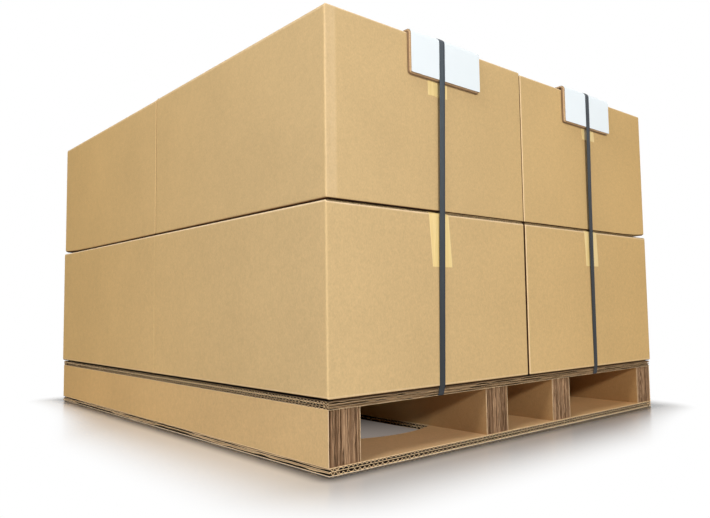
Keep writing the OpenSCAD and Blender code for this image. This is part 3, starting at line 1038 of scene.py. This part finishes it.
def add_flap(shape, size, side, floor, outward, inset, setback, seed, drop, cut):
    """A long flap: two liners with fluted board between them, open at the cut ends; its hidden sides and
    inner liner carry painted shade.
    """
    reach = size.y / 2 - setback
    start = size.x / 2 - inset
    end = FLAP_GAP / 2
    columns = np.linspace(start, end, FLAP_COLUMNS)
    near = reach - FLAP_NOTCH * notches(seed, columns / (9 * MM))
    along = np.stack([-near, -near + CUT_DEPTH, 0.5 * -near, 0.5 * near, near - CUT_DEPTH, near], 1)
    across = side * columns[:, None]
    # Painted shade on the hidden sides; a cut mark below 0, as on the lower cartons' bottom flaps, paints
    # shade on the cut ends
    lower_mark = np.array([cut, -1.0, -1.0, -1.0, -1.0, cut])
    upper_mark = np.maximum(lower_mark, 0.0) if outward > 0 else lower_mark
    marks = (lower_mark, upper_mark) if side > 0 else (upper_mark, lower_mark)
    for level, slot in (((BOARD - LINER / 2) * outward, 0), (LINER / 2 * outward, 1)):
        grid = grid_of(across, along, floor + level - drop(across, along))
        shape.sheet(grid, LINER, slot, mark=marks[0], under=marks[1])
    swing = (BOARD - 2 * LINER - MEDIUM) / 2
    columns = np.linspace(start, end, int((start - end) / CARTON_FLUTE * FLAP_STEPS))
    phase = FULL_TURN * (columns / CARTON_FLUTE + 0.15 * wobble(seed + 3, columns / FLAP_DRIFT))
    near = reach - FLAP_FRAY * notches(seed + 5, columns / (5 * MM))
    inward = np.stack([near, near - CUT_DEPTH, np.full(len(columns), reach - FLUTE_SHOWN)], 1)
    across = side * columns[:, None]
    level = (floor + BOARD / 2 * outward + swing * np.sin(phase))[:, None]
    for direction in (-1, 1):
        along = direction * inward
        grid = grid_of(across, along, level - drop(across, along))
        shape.sheet(grid, MEDIUM, 1, mark=np.array([cut, 0.0, 0.0]))


def make_carton(node, seed, build, sag, setbacks, curled, jointed, inner):
    """One closed carton; setbacks are those of its left and right flaps, at the bottom and at the top."""
    low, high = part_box(node)
    size = high - low
    drop = sag_over(size, sag)
    shape = Shape()
    add_carton_walls(shape, size, build, drop, curled, jointed, inner)

    def rise(x, y):
        return -corner_lift(size, curled, *np.broadcast_arrays(x, y))

    for number, side in enumerate((-1, 1)):
        add_flap(shape, size, side, BOARD + build.flap_lift, -1, build.flap_inset, setbacks[number] * MM,
                 seed + side, rise, build.bottom_cut_shade)
        add_flap(shape, size, side, size.z - BOARD, 1, build.top_radius - 0.15 * MM,
                 setbacks[2 + number] * MM, seed + 10 + side, drop, TOP_FLAP_CUT)
    piece = shape.build(node + "_board", [carton_board, flute_board])
    piece.location = ((low.x + high.x) / 2, (low.y + high.y) / 2, low.z)
    place(piece, node)


# Carton tape

TAPE_FILM = 0.22 * MM
TAPE_ROOM = 0.3 * MM
TAPE_SETBACK = 4.5 * MM
TOOTH = 1.6 * MM
TAPE_LEAN = {"lower_front_left": 0.083, "lower_front_right": 0.06, "upper_front_right": 0.1}


def make_tape(node, carton, build, sag, lean):
    """Film over the flap gap and down both walls, with the toothed ends that a dispenser leaves."""
    low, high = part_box(node)
    carton_low, carton_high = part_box(carton)
    centre = (carton_low + carton_high) / 2
    drop = sag_over(carton_high - carton_low, sag)
    middle = (low.x + high.x) / 2
    half = (high.x - low.x) / 2
    lift = TAPE_FILM / 2
    wall = (low.y + TAPE_ROOM - lift, high.y - TAPE_ROOM + lift)
    top = high.z - TAPE_ROOM + lift
    fold = top - build.top_step - SHORT_TOP_RADIUS
    down = np.linspace(low.z + TOOTH / 2, fold, 8)
    turns = np.linspace(0.3, 1.3, 4)
    bend = [(SHORT_TOP_RADIUS * (1 - math.cos(turn)), SHORT_TOP_RADIUS * math.sin(turn)) for turn in turns]
    path = [(wall[0], z) for z in down]
    path += [(wall[0] + inward, fold + up) for inward, up in bend]
    inset = TAPE_ROOM + TAPE_SETBACK
    path += [(y, top) for y in np.linspace(low.y + inset, high.y - inset, 14)]
    path += [(wall[1] - inward, fold + up) for inward, up in bend[::-1]]
    path += [(wall[1], z) for z in down[::-1]]
    along, level = np.array(path).T[:, :, None]
    columns = np.linspace(-half, half, 2 * int(2 * half / TOOTH) + 1)
    across = middle + columns + lean * np.maximum(fold - level, 0.0)
    share = np.clip((level - low.z) / (fold - low.z), 0, 1)
    grid = grid_of(across, along, level - share * drop(across - centre.x, along - centre.y))
    grid[[0, -1], :, 2] += np.where(np.arange(len(columns)) % 2, TOOTH / 2, -TOOTH / 2)
    # Mark for the painted highlight along the tape's edges
    edge = np.clip(1 - (half - np.abs(columns)) / (1.5 * MM), 0, 1)
    shape = Shape()
    shape.sheet(grid, TAPE_FILM, mark=edge)
    place(shape.build(node + "_film", [tape_film]), node)


# Edge guards

GUARD_PLIES = 8
GUARD_BEND = 10.0 * MM
GUARD_THICKNESS = 6.5 * MM
GUARD_LEG_BEVEL = 3.5 * MM
GUARD_END_BEVEL = 2.2 * MM
GUARD_CORNER = 6.0 * MM
GUARD_ENDS = np.array([0.0, 0.6, 1.8, 3.6, 6.0]) * MM
GUARD_UNEVEN = 0.35 * MM
GUARD_CREASE = 50.0

# Paper, brighter on the right guards with painted light, overhang of the legs and slip of the plies to the
# right
GUARD_LOOKS = {
    "left": (guard_paper, 6.0 * MM, 2.4 * MM),
    "right": (guard_paper_lit, 8.3 * MM, 4.5 * MM),
}


def guard_profile(leg, inset, shorten):
    """Points of an L at a distance inside its outer face, and how far each is from the end of its leg."""
    radius = GUARD_BEND - inset
    points = [(-leg + shorten + end, -inset) for end in GUARD_ENDS]
    points.append((-leg * 0.5, -inset))
    for turn in np.linspace(0, QUARTER_TURN, 10):
        points.append((-GUARD_BEND + radius * math.sin(turn), -GUARD_BEND + radius * math.cos(turn)))
    points.append((-inset, -leg * 0.5))
    points += [(-inset, -leg + shorten + end) for end in GUARD_ENDS[::-1]]
    spare = np.full(len(points), GUARD_CORNER)
    spare[:len(GUARD_ENDS)] = GUARD_ENDS
    spare[-len(GUARD_ENDS):] = GUARD_ENDS[::-1]
    return np.array(points), spare


def make_guard(node, seed, paper, overhang, slip):
    """Plies of brown paper glued into an angle, with a white sheet on the outside.

    The legs end lower by the overhang, and the plies slip to the right, the white sheet most.
    """
    low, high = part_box(node)
    front = low.y < 0
    leg = high.z - low.z
    ply = GUARD_THICKNESS / GUARD_PLIES
    middle = (low.x + high.x) / 2
    half = (high.x - low.x) / 2
    outer = low.y if front else high.y
    columns = np.linspace(-1.0, 1.0, 14)
    shape = Shape()
    for number in range(GUARD_PLIES):
        inset = (number + 0.5) * ply
        outwards = 1 - number / (GUARD_PLIES - 1)
        uneven = GUARD_UNEVEN * notches(seed + number, number * 0.7)
        profile, spare = guard_profile(leg, inset, GUARD_LEG_BEVEL * outwards - overhang + uneven)
        corner = GUARD_CORNER * (1 - 0.75 * outwards)
        rounding = corner - np.sqrt(corner ** 2 - np.maximum(corner - spare, 0) ** 2)
        reach = half - GUARD_END_BEVEL * outwards - uneven - rounding
        across = middle + reach[:, None] * columns + slip * (0.4 + 0.6 * outwards)
        along = outer - profile[:, :1] * (1 if front else -1)
        grid = grid_of(across, along, high.z + profile[:, 1:])
        # Painted shade on the plies next to the white sheet and on the innermost ones
        glued = 0.0 if 2 <= number <= 4 else 0.75
        shape.sheet(grid, ply * 0.96, 1 if number else 0, mark=glued)
    place(shape.build(node + "_plies", [paper, guard_pulp], GUARD_CREASE), node)


# Straps

STRAP_THICKNESS = 0.62 * MM
STRAP_WIDTH = 14.0 * MM
STRAP_CROWN = 0.25 * MM
STRAP_SLIP = 3.5 * MM
STRAP_STEP = 20.0 * MM
STRAP_TURN = 4.5 * MM
LEAVING_BEND = 30.0 * MM
CARTON_BEND = 12.0 * MM
DECK_BEND = 1.6 * MM

# The side that a strap's top leans to, and the share of its height above which it hangs upright
STRAPS = {"left": (1.0, 1.0), "right": (-1.0, 0.62)}


def strap_path(outline):
    """Points along a closed outline of corners, each given as place and bend radius."""
    path = []
    count = len(outline)
    for number in range(count):
        corner = np.array(outline[number][:2])
        radius = outline[number][2]
        before = np.array(outline[number - 1][:2]) - corner
        after = np.array(outline[(number + 1) % count][:2]) - corner
        before /= np.linalg.norm(before)
        after /= np.linalg.norm(after)
        opening = math.acos(np.clip(before @ after, -1, 1))
        back = radius / math.tan(opening / 2)
        bisector = (before + after) / np.linalg.norm(before + after)
        centre = corner + bisector * radius / math.sin(opening / 2)
        start = corner + before * back - centre
        turn = math.pi - opening
        sign = math.copysign(1.0, before[0] * after[1] - before[1] * after[0])
        for share in np.linspace(0, 1, 7):
            angle = -sign * turn * share
            spin = np.array([[math.cos(angle), -math.sin(angle)], [math.sin(angle), math.cos(angle)]])
            path.append(centre + spin @ start)
    return np.array(path)


def fill_path(path, step):
    """Adds points to the long straight stretches of a closed path."""
    filled = []
    for number in range(len(path)):
        a = path[number]
        b = path[(number + 1) % len(path)]
        pieces = max(1, int(np.linalg.norm(b - a) / step))
        for share in np.arange(pieces) / pieces:
            filled.append(a + (b - a) * share)
    return np.array(filled)


def make_strap(node, guard, lower_carton, lean, taut_from):
    """A taut band over the guards, down past the cartons and back under the top deck.

    Its top lies to the side that lean gives; above taut_from, a share of its height, it hangs upright.
    """
    low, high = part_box(node)
    guard_low, guard_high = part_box(guard)
    deck_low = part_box("top_deck")[0]
    carton_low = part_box(lower_carton)[0]
    middle = STRAP_THICKNESS / 2
    top = guard_high.z + middle
    under = deck_low.z - middle
    turn = carton_low.z + STRAP_TURN
    outline = []
    for sign in (-1, 1):
        guard_face = sign * (abs(guard_low.y) + middle)
        carton_face = sign * (abs(carton_low.y) + middle)
        deck_face = sign * (abs(deck_low.y) + middle)
        corners = [(guard_face, top, GUARD_BEND + middle), (guard_face, guard_low.z, LEAVING_BEND)]
        corners += [(carton_face, turn, CARTON_BEND), (deck_face, under, DECK_BEND)]
        outline += corners if sign < 0 else corners[::-1]
    path = fill_path(strap_path(outline), STRAP_STEP)
    along, level = path.T[:, :, None]
    columns = np.linspace(-1, 1, 9)
    share = np.clip((level - under) / (top - under) / taut_from, 0, 1)
    reach = (high.x - low.x - STRAP_WIDTH) / 2
    centre = (low.x + high.x) / 2 + lean * reach * (2 * share - 1)
    slipped = np.clip((turn - level) / (turn - under), 0, 1)
    centre -= np.where(along < 0, STRAP_SLIP * slipped, 0.0)
    tangent = np.roll(path, -1, 0) - np.roll(path, 1, 0)
    tangent /= np.linalg.norm(tangent, axis=1, keepdims=True)
    crown = STRAP_CROWN * (1 - columns ** 2)
    grid = grid_of(centre + columns * STRAP_WIDTH / 2, along + tangent[:, 1:] * crown,
                   level - tangent[:, :1] * crown)
    shape = Shape()
    # The mark runs across the strap, for the painted shade on its right side
    shape.sheet(grid, STRAP_THICKNESS, closed=True, mark=(columns + 1) / 2)
    place(shape.build(node + "_band", [strap_plastic]), node)


# Floor, light and camera

PHOTO_WIDTH = 710
CAMERA_PLACE = (-1.13906, -1.40490, 0.24938)
CAMERA_YAW = 0.7121
CAMERA_TILT = 0.0732
CAMERA_ROLL = -0.0132
CAMERA_SIGHT = 100.0
FOCAL_PIXELS = 670.0
SENSOR = 36.0
PALLET_HALF = (0.508, 0.6096)
FLOOR_HALF = 14.0
FLOOR_GLOSS = 0.8
FLOOR_ROUGHNESS = 0.16
FLOOR_PLAIN = (0.80, 0.80, 0.80)
FLOOR_SEEN = (0.64, 0.617, 0.595)
# Colour of the glow that the camera sees beneath the pallet: painted light
FLOOR_BENEATH = (1.0, 0.86, 0.76)
FLOOR_FADE = (0.02, 0.24)
# Reach of the painted contact shadow along the pallet's foot
FLOOR_CONTACT = (0.0, 0.045)
FLOOR_ENDS = (0.75, 1.25)
FLOOR_ENDS_MIDDLE = 0.1
# Where the painted contact shadow darkens towards the right
FLOOR_RIGHT = (-0.3, 1.0)
HOLE_SHADE_START = -0.29
HOLE_SHADE_LENGTH = 0.43
WHITE = (1.0, 1.0, 1.0)

# Place, target, width in metres and power in watts
LAMPS = {
    "key": ((-2.6, -6.0, 2.6), (-0.1, -0.5, 0.4), 0.7, 264.0),
    "left": ((-3.3, -1.3, 3.0), (-0.4, 0.0, 0.4), 1.2, 80.0),
    "top": ((-0.3, -0.6, 3.6), (-0.3, -0.6, 0.0), 2.4, 20.0),
    "near": ((-1.9, -2.3, 1.3), (-0.2, -0.3, 0.4), 1.2, 3.0),
}


def make_camera():
    level = math.cos(CAMERA_TILT)
    forward = Vector((math.sin(CAMERA_YAW) * level, math.cos(CAMERA_YAW) * level, math.sin(CAMERA_TILT)))
    right = Vector((math.cos(CAMERA_YAW), -math.sin(CAMERA_YAW), 0.0))
    up = right.cross(forward)
    across = right * math.cos(CAMERA_ROLL) + up * math.sin(CAMERA_ROLL)
    upright = up * math.cos(CAMERA_ROLL) - right * math.sin(CAMERA_ROLL)
    data = bpy.data.cameras.new("camera")
    data.sensor_width = SENSOR
    data.lens = SENSOR * FOCAL_PIXELS / PHOTO_WIDTH
    data.clip_end = CAMERA_SIGHT
    camera = bpy.data.objects.new("camera", data)
    turn = Matrix((across, upright, -forward)).transposed()
    camera.matrix_world = Matrix.Translation(CAMERA_PLACE) @ turn.to_4x4()
    bpy.context.scene.collection.objects.link(camera)
    bpy.context.scene.camera = camera


def make_lamp(name, place_at, target, size, power):
    data = bpy.data.lights.new(name, "AREA")
    data.shape = "DISK"
    data.size = size
    data.energy = power
    lamp = bpy.data.objects.new(name, data)
    turn = (Vector(target) - Vector(place_at)).to_track_quat("-Z", "Y")
    lamp.matrix_world = Matrix.Translation(place_at) @ turn.to_matrix().to_4x4()
    bpy.context.scene.collection.objects.link(lamp)


def make_world():
    """Plain white where the camera or a reflection sees past the floor; all the light is the lamps'."""
    world = bpy.data.worlds.new("studio")
    world.use_nodes = True
    bpy.context.scene.world = world
    nodes = world.node_tree.nodes
    links = world.node_tree.links
    path = nodes.new("ShaderNodeLightPath")
    seen = path.outputs["Is Camera Ray"]
    for ray in ("Is Glossy Ray", "Is Transmission Ray"):
        either = nodes.new("ShaderNodeMath")
        either.operation = "MAXIMUM"
        links.new(seen, either.inputs[0])
        links.new(path.outputs[ray], either.inputs[1])
        seen = either.outputs[0]
    nodes["Background"].inputs["Color"].default_value = (*WHITE, 1.0)
    links.new(seen, nodes["Background"].inputs["Strength"])


def make_floor():
    """A pale polished floor that keeps the shadow and has a painted contact shadow; beneath the pallet the
    camera sees a glow with painted shade, and away from it the floor fades to plain white.
    """
    graph = Graph("floor", Specular_IOR_Level=FLOOR_GLOSS)
    place_at = graph.position()
    seen = graph.add("ShaderNodeLightPath", output="Is Camera Ray")
    haze = graph.noise(place_at, 3.0)
    x, y, z = graph.axes(place_at)
    beside = (abs(x) - PALLET_HALF[0]).highest(0.0)
    before = (abs(y) - PALLET_HALF[1]).highest(0.0)
    distance = (beside * beside + before * before) ** 0.5
    away = distance * (abs(x - y - FLOOR_ENDS_MIDDLE).rise(*FLOOR_ENDS) * 1.4 + 1.0)
    # Painted contact shadow, darker towards the right
    contact = distance.rise(*FLOOR_CONTACT) * 0.9 + 0.1
    contact = contact * (1.24 - (x - y).rise(*FLOOR_RIGHT) * 0.56)
    shown = graph.mix(1.0, FLOOR_SEEN, contact, "MULTIPLY")
    tone = graph.mix(seen, FLOOR_PLAIN, shown)
    graph.finish(Base_Color=tone, Roughness=haze * 0.06 + FLOOR_ROUGHNESS)
    # Beneath the pallet: a glow with painted shade, darker towards the far end and the inner runner
    beneath = 1.0 - away.rise(0.0, 0.002)
    dim = (HOLE_SHADE_START - x - y).rise(0.0, HOLE_SHADE_LENGTH) * 0.20 + 0.03
    lit = graph.mix(1.0, FLOOR_BENEATH, dim, "MULTIPLY")
    white = graph.add("ShaderNodeEmission", sockets={"Color": graph.mix(beneath, WHITE, lit)})
    cover = (away.rise(*FLOOR_FADE) + beneath).lowest(1.0)
    surface = graph.add("ShaderNodeMixShader", sockets={0: cover * seen, 2: white})
    graph.tree.links.new(graph.shader.outputs[0], surface.socket.node.inputs[1])
    graph.tree.links.new(surface.socket, graph.tree.nodes["Material Output"].inputs["Surface"])
    mesh = bpy.data.meshes.new("floor")
    corners = [(FLOOR_HALF * x, FLOOR_HALF * y, 0) for x, y in ((-1, -1), (1, -1), (1, 1), (-1, 1))]
    mesh.from_pydata(corners, [], [(0, 1, 2, 3)])
    mesh.materials.append(graph.material)
    floor = bpy.data.objects.new("floor", mesh)
    bpy.context.scene.collection.objects.link(floor)


# Assembly

RUNNER_SEED = 11
CARTON_SEEDS = {"lower": 40, "upper": 120}
GUARD_SEED = 300
SEED_STEP = 20

make_camera()
make_world()
for name, settings in LAMPS.items():
    make_lamp(name, *settings)
make_floor()
for node, deck in DECKS.items():
    make_deck(node, deck)
for number, (node, open_side) in enumerate(RUNNERS.items()):
    make_runner(node, RUNNER_SEED + number, open_side)
for layer, build in BUILDS.items():
    for number, corner in enumerate(CORNERS):
        name = layer + "_" + corner
        seed = CARTON_SEEDS[layer] + SEED_STEP * number
        sag = SAGS.get(name, USUAL_SAG)
        setbacks = SETBACKS.get(name, USUAL_SETBACKS)
        inner = (1 if "left" in corner else -1, 1 if "front" in corner else -1)
        make_carton("carton_" + name, seed, build, sag, setbacks, CURLED.get(name), name == JOINTED, inner)
        make_tape("tape_" + name, "carton_" + name, build, sag, TAPE_LEAN.get(name, 0.0))
for number, corner in enumerate(CORNERS):
    looks = GUARD_LOOKS["left" if "left" in corner else "right"]
    make_guard("edge_guard_" + corner, GUARD_SEED + SEED_STEP * number, *looks)
for side, (lean, taut_from) in STRAPS.items():
    make_strap("strap_" + side, "edge_guard_front_" + side, "carton_lower_front_" + side, lean, taut_from)

bpy.context.scene.view_settings.view_transform = "Standard"
bpy.context.view_layer.update()
